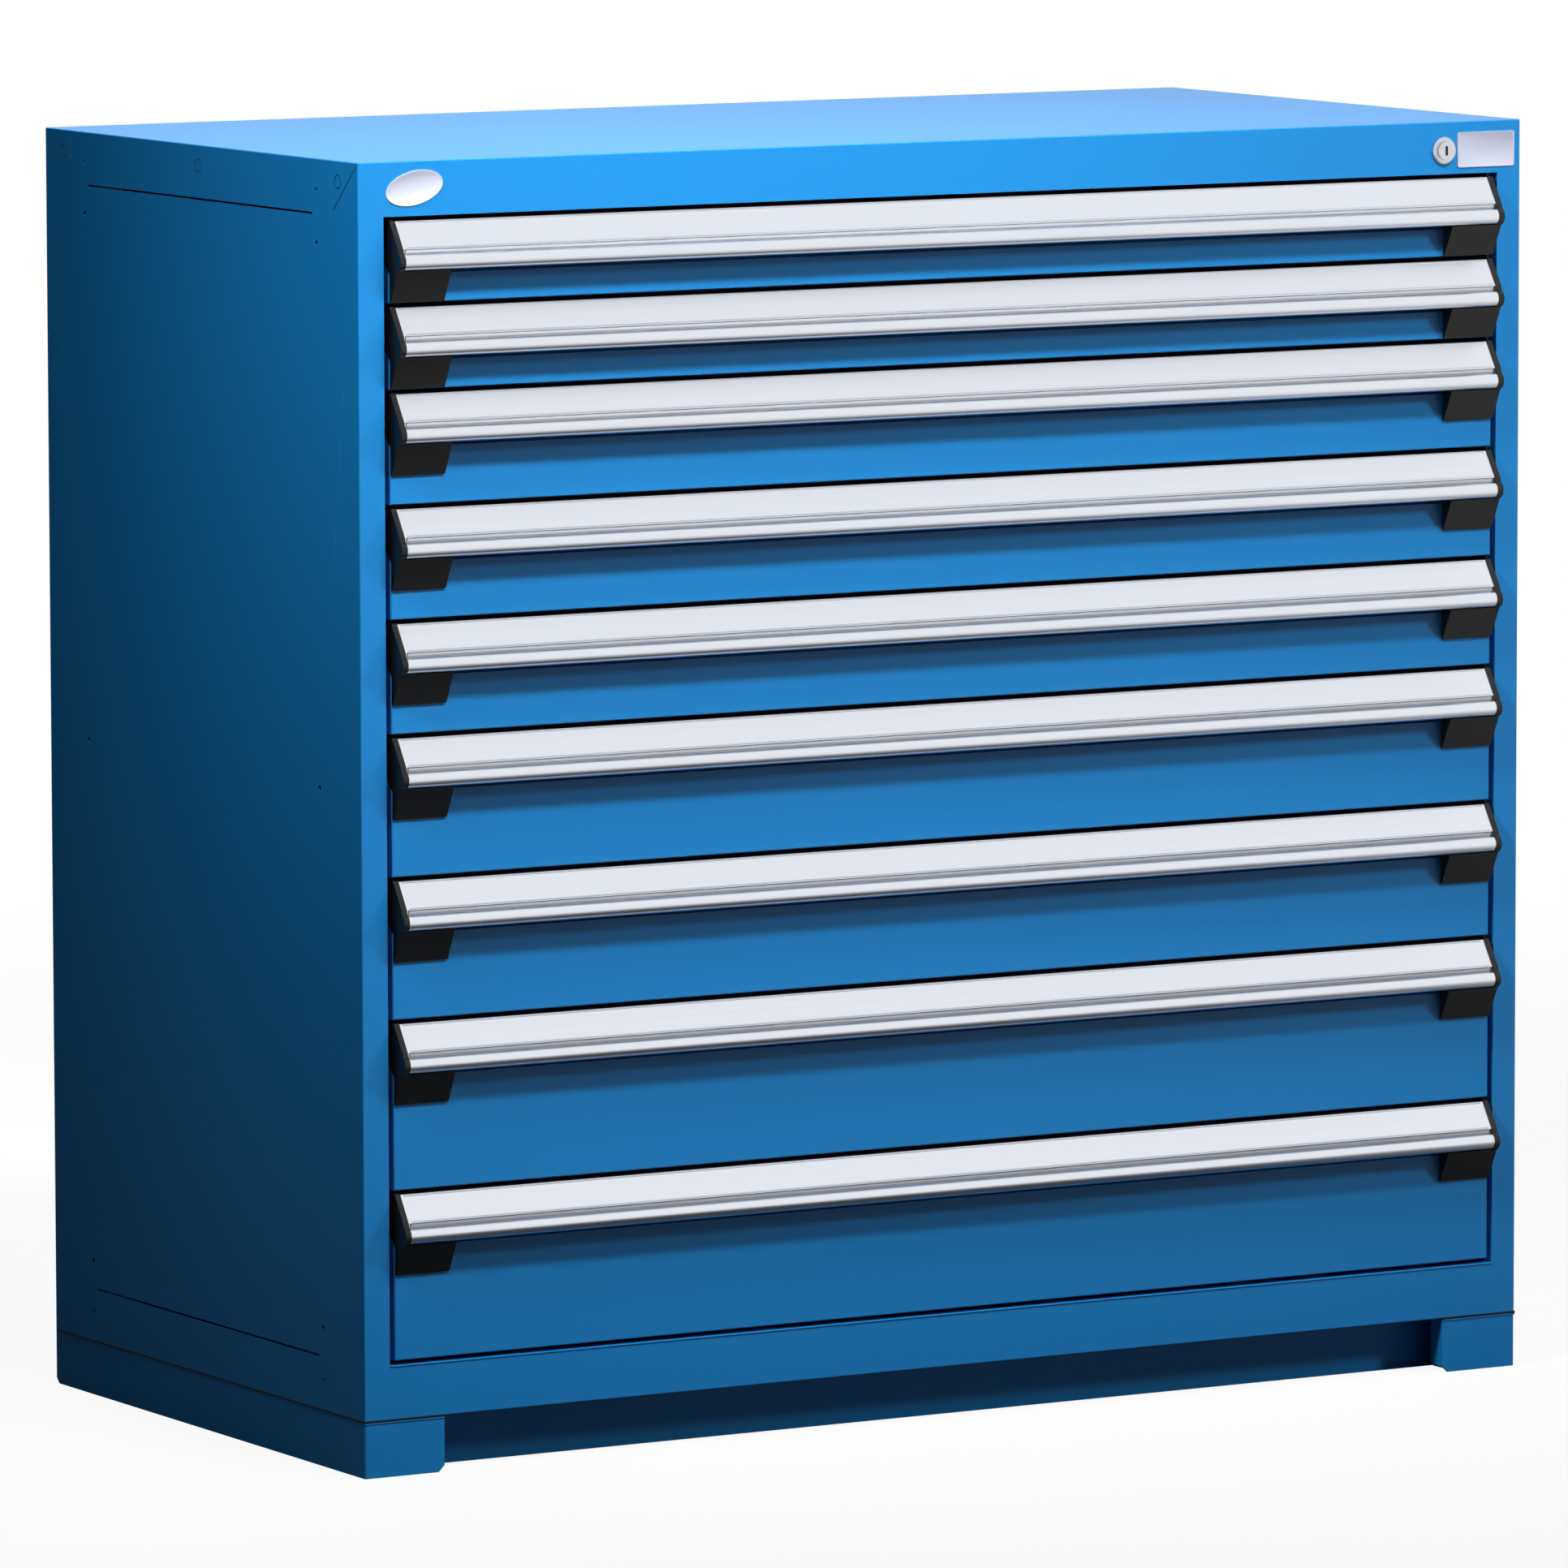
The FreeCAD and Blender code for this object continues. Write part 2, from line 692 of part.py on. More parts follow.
def make_drawer_front(drawer, top, drawer_height):
    body = new_body("drawer_%d_front" % drawer)
    wall = size("drawer_sheet")
    recess = size("recess_depth")
    slope_top = -size("recess_bottom") + recess / 2
    slope_low = -size("recess_bottom") - recess / 2
    slope_drop = wall * math.tan(math.radians(SLOPE_ANGLE / 2))
    profile = new_sketch(body, "YZ_Plane")
    corners = [(recess, -size("drawer_gap")), (recess, slope_top), (0, slope_low), (0, -drawer_height)]
    corners += [(box_front, -drawer_height), (box_front, wall - drawer_height), (wall, wall - drawer_height)]
    corners += [(wall, slope_low - slope_drop), (box_front, slope_top - slope_drop)]
    corners += [(box_front, -size("drawer_gap"))]
    add_outline(profile, corners)
    pad(body, profile, 2 * front_half, both_ways=True)
    for side in (-1, 1):
        cheek = new_sketch(body, "YZ_Plane", side * front_half)
        corners = [(wall, wall - drawer_height), (box_front, wall - drawer_height)]
        corners += [(box_front, slope_top - slope_drop), (wall, slope_low - slope_drop)]
        add_outline(cheek, corners)
        pad(body, cheek, wall, backwards=side > 0)

    def face_edge(middle, extent):
        flat = near(extent.YMin, 0) and near(extent.YMax, 0)
        return flat and (near(abs(middle.x), front_half) or near(middle.z, -drawer_height))

    bevel_edges(body, size("front_edge_bevel"), face_edge)
    return keep(place(body, 0, front, top))


# Label handle section, seen from the side: y is behind the front plane, z below the drawer's top line
nose_out = size("groove_depth") - size("label_reach")
nose_up = -size("drawer_gap") - size("label_drop") - size("groove_height") - size("nose_radius")
label_length = root(size("label_reach") * size("label_reach") + size("label_drop") * size("label_drop"))
label_bottom = -size("drawer_gap") - size("label_drop")


def make_handle():
    body = new_body("label_handle")
    wall = size("handle_wall")
    top = -size("drawer_gap")
    recess = size("recess_depth")
    slope_run = size("label_reach") / size("label_drop")
    shift = wall * label_length / size("label_drop")
    web = nose_out + wall
    corners = [
        (recess, top),
        (0, top),
        (-size("label_reach"), label_bottom),
        (nose_out, label_bottom),
        (nose_out, nose_up + size("nose_radius")),
        (nose_out, nose_up - size("nose_radius")),
        (nose_out + size("lip_run"), nose_up - size("nose_radius")),
        (nose_out + size("lip_run"), nose_up - size("nose_radius") + wall),
        (nose_out, nose_up - size("nose_radius") + wall),
        (nose_out, nose_up + size("nose_radius") - wall),
        (web, nose_up + size("nose_radius") - wall),
        (web, top - (shift - web) / slope_run),
        (shift - slope_run * wall, top - wall),
        (recess - wall, top - wall),
        (recess - wall, top - size("hook_drop")),
        (recess, top - size("hook_drop")),
    ]
    centre = (nose_out, nose_up)
    profile = new_sketch(body, "YZ_Plane")
    add_outline(profile, corners, {4: (centre, False), 8: (centre, True)})
    pad(body, profile, 2 * (front_half - size("cap_plate")), both_ways=True)
    return body


def make_cap():
    body = new_body("end_cap")
    rim = size("cap_rim")
    radius = size("nose_radius") + rim
    top = -size("drawer_gap") + rim
    recess = size("recess_depth")
    slope_run = size("label_reach") / size("label_drop")
    rim_shift = rim * label_length / size("label_drop")
    slope_top = -size("recess_bottom") + recess / 2
    slope_low = -size("recess_bottom") - recess / 2
    start = math.radians(CAP_NOSE_START)
    end = math.radians(CAP_NOSE_END)
    nose_start = (nose_out - radius * math.cos(start), nose_up + radius * math.sin(start))
    nose_end = (nose_out - radius * math.cos(end), nose_up + radius * math.sin(end))
    foot = [(-size("cap_foot_reach"), -size("cap_drop")), (0, -size("cap_drop")), (0, slope_low)]
    corners = [(recess, top), (slope_run * rim - rim_shift, top)]
    corners += [(-size("label_reach") - rim_shift, label_bottom), nose_start, nose_end]
    corners += foot + [(recess, slope_top)]
    plate = new_sketch(body, "YZ_Plane", front_half - size("cap_plate"))
    add_outline(plate, corners, {3: ((nose_out, nose_up), False)})
    pad(body, plate, size("cap_plate"))
    gap = size("cap_handle_gap")
    behind_nose = nose_out + size("lip_run") + 2 * gap
    block_top = -size("drawer_gap") - size("hook_drop") - gap
    under_nose = nose_end[1]
    block = new_sketch(body, "YZ_Plane", front_half - size("cap_length"))
    corners = [(recess, block_top), (behind_nose, block_top), (behind_nose, under_nose)]
    corners += [nose_end] + foot + [(recess, slope_top)]
    add_outline(block, corners)
    pad(body, block, size("cap_length") - size("cap_plate"))
    return body


# Lock
bar_back = size("upright_front") - size("bar_gap")
bar_front = bar_back - size("bar_sheet")
hook_front = bar_front - size("hook_sheet")
catch_front = bar_front + size("catch_gap")
bar_left = inner_width - size("upright_width") + size("bar_inset")
bar_right = bar_left + size("bar_width")
crank_radius = size("bar_travel") / (2 * math.sin(math.radians(CRANK_ANGLE)))
pin_across = lock_across + crank_radius * math.cos(math.radians(CRANK_ANGLE))
pin_up = lock_up + size("bar_travel") / 2


def make_lock_housing():
    body = new_body("lock_housing")
    bore = size("plug_radius") + size("lock_fit")
    section = new_sketch(body, "YZ_Plane")
    face = -size("lock_ring_reach")
    bevel = size("lock_ring_bevel")
    corners = [(face, bore), (face, size("lock_ring_radius") - bevel)]
    corners += [(face + bevel, size("lock_ring_radius")), (0, size("lock_ring_radius"))]
    corners += [(0, size("lock_barrel_radius"))]
    corners += [(size("lock_barrel_depth"), size("lock_barrel_radius")), (size("lock_barrel_depth"), bore)]
    add_outline(section, corners)
    turned = body.newObject("PartDesign::Revolution", "lock_housing_turned")
    turned.Profile = section
    turned.ReferenceAxis = (section, ["H_Axis"])
    turned.Angle = 360
    return keep(place(body, lock_across, front, lock_up))


def make_lock_plug():
    body = new_body("lock_plug_turned")
    ring = size("lock_ring_reach")
    face_low = -ring - size("plug_face_gap")
    face_high = face_low - size("plug_face_reach")
    cam_front = size("lock_barrel_depth") + size("cam_gap")
    section = new_sketch(body, "YZ_Plane")
    corners = [(face_high, 0), (face_high, size("plug_face_radius")), (face_low, size("plug_face_radius"))]
    corners += [(face_low, size("plug_radius")), (cam_front, size("plug_radius")), (cam_front, 0)]
    add_outline(section, corners)
    turned = body.newObject("PartDesign::Revolution", "lock_plug_turning")
    turned.Profile = section
    turned.ReferenceAxis = (section, ["H_Axis"])
    turned.Angle = 360
    keyway = new_sketch(body, "XZ_Plane", -face_high)
    half_slot = size("keyway_width") / 2
    half_length = size("keyway_height") / 2
    add_rectangle(keyway, -half_slot, half_slot, -half_length, half_length)
    pocket(body, keyway, size("keyway_depth"))
    cam = new_sketch(body, "XZ_Plane", -cam_front)
    add_circle(cam, 0, 0, size("cam_hub_radius"))
    pad(body, cam, size("cam_sheet"), backwards=True)
    arm = new_sketch(body, "XZ_Plane", -cam_front)
    reach = crank_radius + 2 * size("crank_pin_radius")
    tilt = math.radians(CRANK_ANGLE)
    half_arm = size("crank_pin_radius") * 2
    corners = []
    for along, beside in ((0, -1), (1, -1), (1, 1), (0, 1)):
        across = along * reach * math.cos(tilt) - beside * half_arm * math.sin(tilt)
        up = along * reach * math.sin(tilt) + beside * half_arm * math.cos(tilt)
        corners.append((across, up))
    add_outline(arm, corners)
    pad(body, arm, size("cam_sheet"), backwards=True)
    crank = new_sketch(body, "XZ_Plane", -cam_front - size("cam_sheet"))
    add_circle(crank, pin_across - lock_across, pin_up - lock_up, size("crank_pin_radius"))
    pad(body, crank, bar_back - cam_front - size("cam_sheet"), backwards=True)
    place(body, lock_across, front, lock_up)
    return keep(group("lock_plug", [body]))


def make_lock_bar():
    body = new_body("lock_bar")
    arm_low = pin_up - size("bar_arm_height") / 2
    arm_high = pin_up + size("bar_arm_height") / 2
    arm_left = pin_across - size("bar_arm_overhang")
    tail = drawer_tops[len(DRAWER_UNITS) - 1] - size("bar_tail")
    outline = new_sketch(body, "XZ_Plane", -bar_front)
    corners = [(bar_left, tail), (bar_right, tail), (bar_right, arm_high), (arm_left, arm_high)]
    corners += [(arm_left, arm_low), (bar_left, arm_low)]
    add_outline(outline, corners)
    play = size("pin_play")
    pin_low = pin_across - size("crank_pin_radius") - play
    pin_high = lock_across + crank_radius + size("crank_pin_radius") + play
    half_slot = size("crank_pin_radius") + play
    add_rectangle(outline, pin_low, pin_high, pin_up - half_slot, pin_up + half_slot)
    middle = (bar_left + bar_right) / 2
    lug = size("lug_width") / 2 + size("bar_gap")
    for drawer in guided_drawers:
        level = drawer_tops[drawer - 1] - size("lug_drop")
        add_rectangle(outline, middle - lug, middle + lug, level - lug, level + size("bar_travel") + lug)
    pad(body, outline, size("bar_sheet"), backwards=True)
    return keep(place(body, 0, front, 0))


def make_lock_hooks():
    hooks = []
    for drawer, top in enumerate(drawer_tops[:-1], start=1):
        high = top - size("hook_top_drop")
        left = front_half - size("hook_inset")
        hooks.append(box("hook_%d" % drawer, left, bar_right - size("bar_inset"), front + hook_front,
                         front + bar_front, high - size("hook_height"), high))
    return keep(group("lock_hooks", hooks))


make_front_frame()
make_side_panel()
make_top_panel()
make_bottom_panel()
make_back_panel()
make_uprights()
make_cabinet_rails()
make_base_side_rails()
make_base_cross_rails()
make_lock_housing()
make_lock_plug()
make_lock_bar()
make_lock_hooks()
make_carriages()
lock_catch = make_catch()
handle_section = make_handle()
right_cap = make_cap()
left_cap = mirror("end_cap_left", right_cap)
for drawer, units in enumerate(DRAWER_UNITS, start=1):
    drawer_top = drawer_tops[drawer - 1]
    make_drawer_box(drawer, drawer_top, units * size("height_step"), lock_catch)
    make_drawer_front(drawer, drawer_top, units * size("height_step"))
    keep(place(group("drawer_%d_handle" % drawer, [handle_section]), 0, front, drawer_top))
    keep(place(group("drawer_%d_end_caps" % drawer, [right_cap, left_cap]), 0, front, drawer_top))
doc.recompute()

# Every object has to be whole before anything is written
for item in doc.Objects:
    if "Invalid" in item.State or "Error" in item.State:
        raise RuntimeError("%s is not valid: %s" % (item.Label, item.State))
    if item.TypeId == "PartDesign::Pocket" and item.Shape.Volume >= item.BaseFeature.Shape.Volume:
        raise RuntimeError("%s cuts nothing" % item.Label)
for item in nodes:
    if item.Shape.isNull() or not item.Shape.isValid():
        raise RuntimeError("%s has no valid shape" % item.Label)

os.makedirs("parts", exist_ok=True)
for item in nodes:
    item.Shape.exportStep("parts/%s.step" % item.Label)
print("pieces", len(nodes), "solids", sum(len(item.Shape.Solids) for item in nodes))
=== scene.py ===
import math

import bmesh
import bpy
from mathutils import Matrix, Vector


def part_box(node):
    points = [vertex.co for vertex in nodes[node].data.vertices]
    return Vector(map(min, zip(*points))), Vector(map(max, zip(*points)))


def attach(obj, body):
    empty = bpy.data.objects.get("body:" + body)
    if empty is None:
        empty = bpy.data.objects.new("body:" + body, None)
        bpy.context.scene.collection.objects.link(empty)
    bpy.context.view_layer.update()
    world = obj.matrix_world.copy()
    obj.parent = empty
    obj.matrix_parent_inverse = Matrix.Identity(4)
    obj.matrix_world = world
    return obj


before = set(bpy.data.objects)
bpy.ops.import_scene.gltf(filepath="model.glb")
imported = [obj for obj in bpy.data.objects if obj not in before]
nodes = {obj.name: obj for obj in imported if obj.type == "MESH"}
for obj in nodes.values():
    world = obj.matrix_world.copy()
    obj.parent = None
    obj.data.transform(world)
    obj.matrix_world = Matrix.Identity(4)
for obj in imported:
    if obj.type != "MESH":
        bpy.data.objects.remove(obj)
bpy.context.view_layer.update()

# Housing
# Folded and spot-welded steel sheet: a pressed front with two side sheets, a top, a bottom and a back.
# It is powder coated in one blue after welding. The coat has a fine orange peel, a soft even gloss
# and no seams, so it looks deep in shade and turns pale where it is seen edge on.
COAT_BLUE = "#1a89d4"
COAT_BLUE_THIN = "#1d8dd7"
COAT_IOR = 1.5
COAT_ROUGHNESS = 0.42
COAT_ROUGHNESS_SPREAD = 0.05
COAT_SHADE_MM = 260.0
PEEL_MM = 1.6
PEEL_DEPTH_MM = 0.03
PEEL_STRENGTH = 0.35


def linear_colour(hex_value):
    """The linear colour of an sRGB hex value."""
    channels = [int(hex_value[place:place + 2], 16) / 255 for place in (1, 3, 5)]
    linear = [c / 12.92 if c <= 0.04045 else ((c + 0.055) / 1.055) ** 2.4 for c in channels]
    return (*linear, 1.0)


def add_node(finish, kind, settings=None, values=None, links=None):
    """Adds one node with its settings, its socket values and the links that come into it."""
    node = finish.node_tree.nodes.new(kind)
    for name, value in (settings or {}).items():
        setattr(node, name, value)
    for name, value in (values or {}).items():
        node.inputs[name].default_value = value
    for name, source in (links or {}).items():
        finish.node_tree.links.new(source, node.inputs[name])
    return node


def start_finish(name, values):
    """A new material with the values of its shader, and the place in metres on the piece."""
    finish = bpy.data.materials.new(name)
    finish.use_nodes = True
    shader = finish.node_tree.nodes["Principled BSDF"]
    for socket, value in values.items():
        shader.inputs[socket].default_value = value
    place = add_node(finish, "ShaderNodeTexCoord").outputs["Object"]
    return finish, shader, place


def coat_steel(name, colour, thin_colour):
    """Sprayed and baked powder coat: broad faint shade differences and a fine orange peel."""
    finish, shader, place = start_finish(name, {"IOR": COAT_IOR})
    wires = finish.node_tree.links
    cloud = add_node(finish, "ShaderNodeTexNoise", values={"Scale": 1000 / COAT_SHADE_MM, "Detail": 3.0},
                     links={"Vector": place})
    shade = add_node(finish, "ShaderNodeMix", {"data_type": "RGBA"},
                     {"A": linear_colour(colour), "B": linear_colour(thin_colour)},
                     {"Factor": cloud.outputs["Fac"]})
    wires.new(shade.outputs["Result"], shader.inputs["Base Color"])
    grain = add_node(finish, "ShaderNodeTexNoise", values={"Scale": 1000 / PEEL_MM, "Detail": 2.0},
                     links={"Vector": place})
    gloss = add_node(finish, "ShaderNodeMapRange",
                     values={"To Min": COAT_ROUGHNESS - COAT_ROUGHNESS_SPREAD,
                             "To Max": COAT_ROUGHNESS + COAT_ROUGHNESS_SPREAD},
                     links={"Value": grain.outputs["Fac"]})
    wires.new(gloss.outputs["Result"], shader.inputs["Roughness"])
    peel = add_node(finish, "ShaderNodeBump",
                    values={"Strength": PEEL_STRENGTH, "Distance": PEEL_DEPTH_MM / 1000},
                    links={"Height": grain.outputs["Fac"]})
    wires.new(peel.outputs["Normal"], shader.inputs["Normal"])
    return finish


def give_finish(names, finish):
    """Gives one finish to the whole of each solid that came with the frame."""
    for name in names:
        nodes[name].data.materials.clear()
        nodes[name].data.materials.append(finish)


blue_powder_coat = coat_steel("blue_powder_coat", COAT_BLUE, COAT_BLUE_THIN)
give_finish(("front_frame", "left_side_panel", "right_side_panel"), blue_powder_coat)
give_finish(("top_panel", "bottom_panel", "back_panel"), blue_powder_coat)
housing_low, housing_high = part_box("front_frame")
housing_front = housing_low.y

# Marks in the side sheets
# Each side sheet is punched and folded flat before coating. Along its top edge it keeps three round
# knock-outs for cables, cut through except for their ties, and the slanted seam of the front corner.
# The cuts are drawn as fine beads of a darker blue coat: painted shade in the cut lines.
CUT_SHADE_BLUE = "#0a3a5e"
CUT_SHADE_BLUE_DEEP = "#072c4a"
KNOCK_OUT_RADIUS = 0.006
KNOCK_OUT_DROP = 0.0184
KNOCK_OUT_DEPTHS = (0.037, 0.305, 0.572)
LINE_RADIUS = 0.0004
LINE_STEPS = 40
BEAD_ROUNDNESS = 2
SEAM_START = (0.003, 0.0034)
SEAM_END = (0.045, 0.0434)
SMOOTH_ANGLE = 35.0


def add_piece(name, mesh, finish, body):
    """Puts a finished mesh on the body that carries it, smooth where its faces meet gently."""
    mesh.name = name
    mesh.shade_smooth()
    mesh.set_sharp_from_angle(angle=math.radians(SMOOTH_ANGLE))
    mesh.materials.clear()
    mesh.materials.append(finish)
    piece = bpy.data.objects.new(name, mesh)
    bpy.context.scene.collection.objects.link(piece)
    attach(piece, body)


def line_mesh(points, radius, closed=False):
    """A fine round bead along points."""
    curve = bpy.data.curves.new("line", "CURVE")
    curve.dimensions = "3D"
    curve.bevel_depth = radius
    curve.bevel_resolution = BEAD_ROUNDNESS
    curve.use_fill_caps = not closed
    spline = curve.splines.new("POLY")
    spline.points.add(len(points) - 1)
    for spot, point in zip(spline.points, points):
        spot.co = (*point, 1.0)
    spline.use_cyclic_u = closed
    holder = bpy.data.objects.new("line", curve)
    mesh = bpy.data.meshes.new_from_object(holder)
    bpy.data.objects.remove(holder)
    return mesh


# A darker blue coat for the cut lines of the knock-outs and the seam: painted shade.
cut_shade_coat = coat_steel("blue_coat_painted_cut_shade", CUT_SHADE_BLUE, CUT_SHADE_BLUE_DEEP)
for side, sheet_name in ((-1, "left_side_panel"), (1, "right_side_panel")):
    sheet_low, sheet_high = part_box(sheet_name)
    outside = sheet_high.x if side > 0 else sheet_low.x
    for count, depth in enumerate(KNOCK_OUT_DEPTHS, start=1):
        ring = []
        for step in range(LINE_STEPS):
            turn = math.tau * step / LINE_STEPS
            ring.append((outside, housing_front + depth + KNOCK_OUT_RADIUS * math.cos(turn),
                         housing_high.z - KNOCK_OUT_DROP + KNOCK_OUT_RADIUS * math.sin(turn)))
        add_piece("%s_knock_out_%d" % (sheet_name, count), line_mesh(ring, LINE_RADIUS, closed=True),
                  cut_shade_coat, "root")
    seam = [(outside, housing_front + depth, housing_high.z - drop)
            for depth, drop in (SEAM_START, SEAM_END)]
    add_piece("%s_corner_seam" % sheet_name, line_mesh(seam, LINE_RADIUS), cut_shade_coat,
              "root")

# Base
# Two folded channels run along the sides and turn round the front corners as the feet. A set-back
# kick plate and a rear rail are welded between them. The base has the housing's coat. A near-black
# bead along the joint above it is painted shade in that joint, and a rolled edge catches the light.
JOINT_SHADE_COLOUR = "#0b0d10"
JOINT_SHADE_COLOUR_HIGH = "#14171a"
JOINT_SHADE_ROUGHNESS = 0.8
JOINT_SHADE_GRAIN_MM = 0.7
BLACK_IOR = 1.45
GRAIN_STRENGTH = 0.5
GRAIN_DEPTH_SHARE = 1 / 30
FOOT_WIDTH = 0.080
JOINT_SHADE_RADIUS = 0.0011
ROLLED_EDGE_RADIUS = 0.0008
ROLLED_EDGE_DROP = 0.0017
EDGE_BACK_GAP = 0.004
EDGE_CORNER = 0.0004
BOTTOM_RAIL_HEIGHT = 0.049
BOTTOM_RAIL_INSET = 0.026


def grain_black(name, colour, high_colour, roughness, grain_mm):
    """Dull black with a fine grain that is a little lighter on its high spots, for moulded plastic or
    for painted shade in a joint. The grain is drawn coarser than it is, so that it shows."""
    finish, shader, place = start_finish(name, {"IOR": BLACK_IOR, "Roughness": roughness})
    wires = finish.node_tree.links
    grain = add_node(finish, "ShaderNodeTexNoise", values={"Scale": 1000 / grain_mm, "Detail": 2.0},
                     links={"Vector": place})
    shade = add_node(finish, "ShaderNodeMix", {"data_type": "RGBA"},
                     {"A": linear_colour(colour), "B": linear_colour(high_colour)},
                     {"Factor": grain.outputs["Fac"]})
    wires.new(shade.outputs["Result"], shader.inputs["Base Color"])
    bump = add_node(finish, "ShaderNodeBump",
                    values={"Strength": GRAIN_STRENGTH, "Distance": GRAIN_DEPTH_SHARE * grain_mm / 1000},
                    links={"Height": grain.outputs["Fac"]})
    wires.new(bump.outputs["Normal"], shader.inputs["Normal"])
    return finish


give_finish(("base_side_rails", "kick_plate", "rear_base_rail"), blue_powder_coat)
# A near-black bead along the base joint: painted shade in that joint.
painted_joint_shade_black = grain_black("painted_joint_shade_black", JOINT_SHADE_COLOUR, JOINT_SHADE_COLOUR_HIGH, JOINT_SHADE_ROUGHNESS, JOINT_SHADE_GRAIN_MM)
base_low, base_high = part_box("base_side_rails")
for side, side_name, outside in ((-1, "left", base_low.x), (1, "right", base_high.x)):
    path = [(outside, base_high.y - EDGE_BACK_GAP), (outside, base_low.y + EDGE_CORNER),
            (outside - side * EDGE_CORNER, base_low.y), (outside - side * FOOT_WIDTH, base_low.y)]
    for edge_name, height, radius, finish in (
            ("joint_shade_bead", base_high.z, JOINT_SHADE_RADIUS, painted_joint_shade_black),
            ("rolled_edge", base_high.z - ROLLED_EDGE_DROP, ROLLED_EDGE_RADIUS, blue_powder_coat)):
        edge = [(across, back, height) for across, back in path]
        add_piece("base_%s_%s" % (side_name, edge_name), line_mesh(edge, radius), finish,
                  "root")
rail_edge_height = base_high.z + BOTTOM_RAIL_HEIGHT - ROLLED_EDGE_RADIUS
rail_edge = [(end * (housing_high.x - BOTTOM_RAIL_INSET), housing_front, rail_edge_height)
             for end in (-1, 1)]
add_piece("bottom_rail_rolled_edge", line_mesh(rail_edge, ROLLED_EDGE_RADIUS), blue_powder_coat,
          "root")

# Posts and rails inside the housing
# Roll-formed steel with a bright zinc plate: four slotted posts, and a pair of C rails for each drawer.
# The plate is thin and passivated, so it is a soft grey metal with cloudy patches and no sharp gloss.
ZINC = "#b9bcbb"
ZINC_CLOUD = "#a3a8aa"
ZINC_ROUGHNESS = 0.36
ZINC_ROUGHNESS_SPREAD = 0.08
ZINC_CLOUD_MM = 18.0


def plate_steel(name, colour, cloud_colour):
    """Zinc plate on steel: metal with cloudy patches that differ in shade and gloss."""
    finish, shader, place = start_finish(name, {"Metallic": 1.0})
    wires = finish.node_tree.links
    cloud = add_node(finish, "ShaderNodeTexNoise", values={"Scale": 1000 / ZINC_CLOUD_MM, "Detail": 4.0},
                     links={"Vector": place})
    shade = add_node(finish, "ShaderNodeMix", {"data_type": "RGBA"},
                     {"A": linear_colour(colour), "B": linear_colour(cloud_colour)},
                     {"Factor": cloud.outputs["Fac"]})
    wires.new(shade.outputs["Result"], shader.inputs["Base Color"])
    gloss = add_node(finish, "ShaderNodeMapRange",
                     values={"To Min": ZINC_ROUGHNESS - ZINC_ROUGHNESS_SPREAD,
                             "To Max": ZINC_ROUGHNESS + ZINC_ROUGHNESS_SPREAD},
                     links={"Value": cloud.outputs["Fac"]})
    wires.new(gloss.outputs["Result"], shader.inputs["Roughness"])
    return finish


zinc_plate = plate_steel("zinc_plate", ZINC, ZINC_CLOUD)
give_finish(("uprights", "cabinet_rails"), zinc_plate)

# Drawer slides
# The middle member of each full-extension slide is a rolled I section of the same plated steel. It
# runs between the fixed rail and the drawer's channel, and comes out half as far as the drawer.
drawer_count = sum(name.endswith("_carriage") for name in nodes)
drawer_numbers = range(1, drawer_count + 1)
give_finish(["slide_%d_carriage" % number for number in drawer_numbers], zinc_plate)

# Drawer boxes
# Folded steel trays with a channel along each side and a catch for the lock. They have a light grey
# powder coat, sprayed and baked as the blue one is.
BOX_GREY = "#b4b8bb"
BOX_GREY_THIN = "#aeb3b7"

grey_powder_coat = coat_steel("grey_powder_coat", BOX_GREY, BOX_GREY_THIN)
drawers = ["drawer_%d" % number for number in drawer_numbers]
give_finish([drawer + "_box" for drawer in drawers], grey_powder_coat)

# Drawer fronts
# Folded steel pans, flush with the housing, with a shallow recess along the top for the handle.
# They are coated with the housing, so they have its blue.
give_finish([drawer + "_front" for drawer in drawers], blue_powder_coat)

# Handles
# Extruded aluminium, satin anodised: a sloped label face, a groove below it and a round nose to pull by.
# The die leaves faint lines along the length, and the etch before anodising makes it a pale, soft metal.
ALUMINIUM = "#eceff6"
ALUMINIUM_LINE = "#e3e7ef"
ALUMINIUM_ROUGHNESS = 0.3
ALUMINIUM_ROUGHNESS_SPREAD = 0.04
DIE_LINE_MM = 1.1
DIE_LINE_LENGTH_MM = 900.0
DIE_LINE_DEPTH_MM = 0.01
DIE_LINE_STRENGTH = 0.3


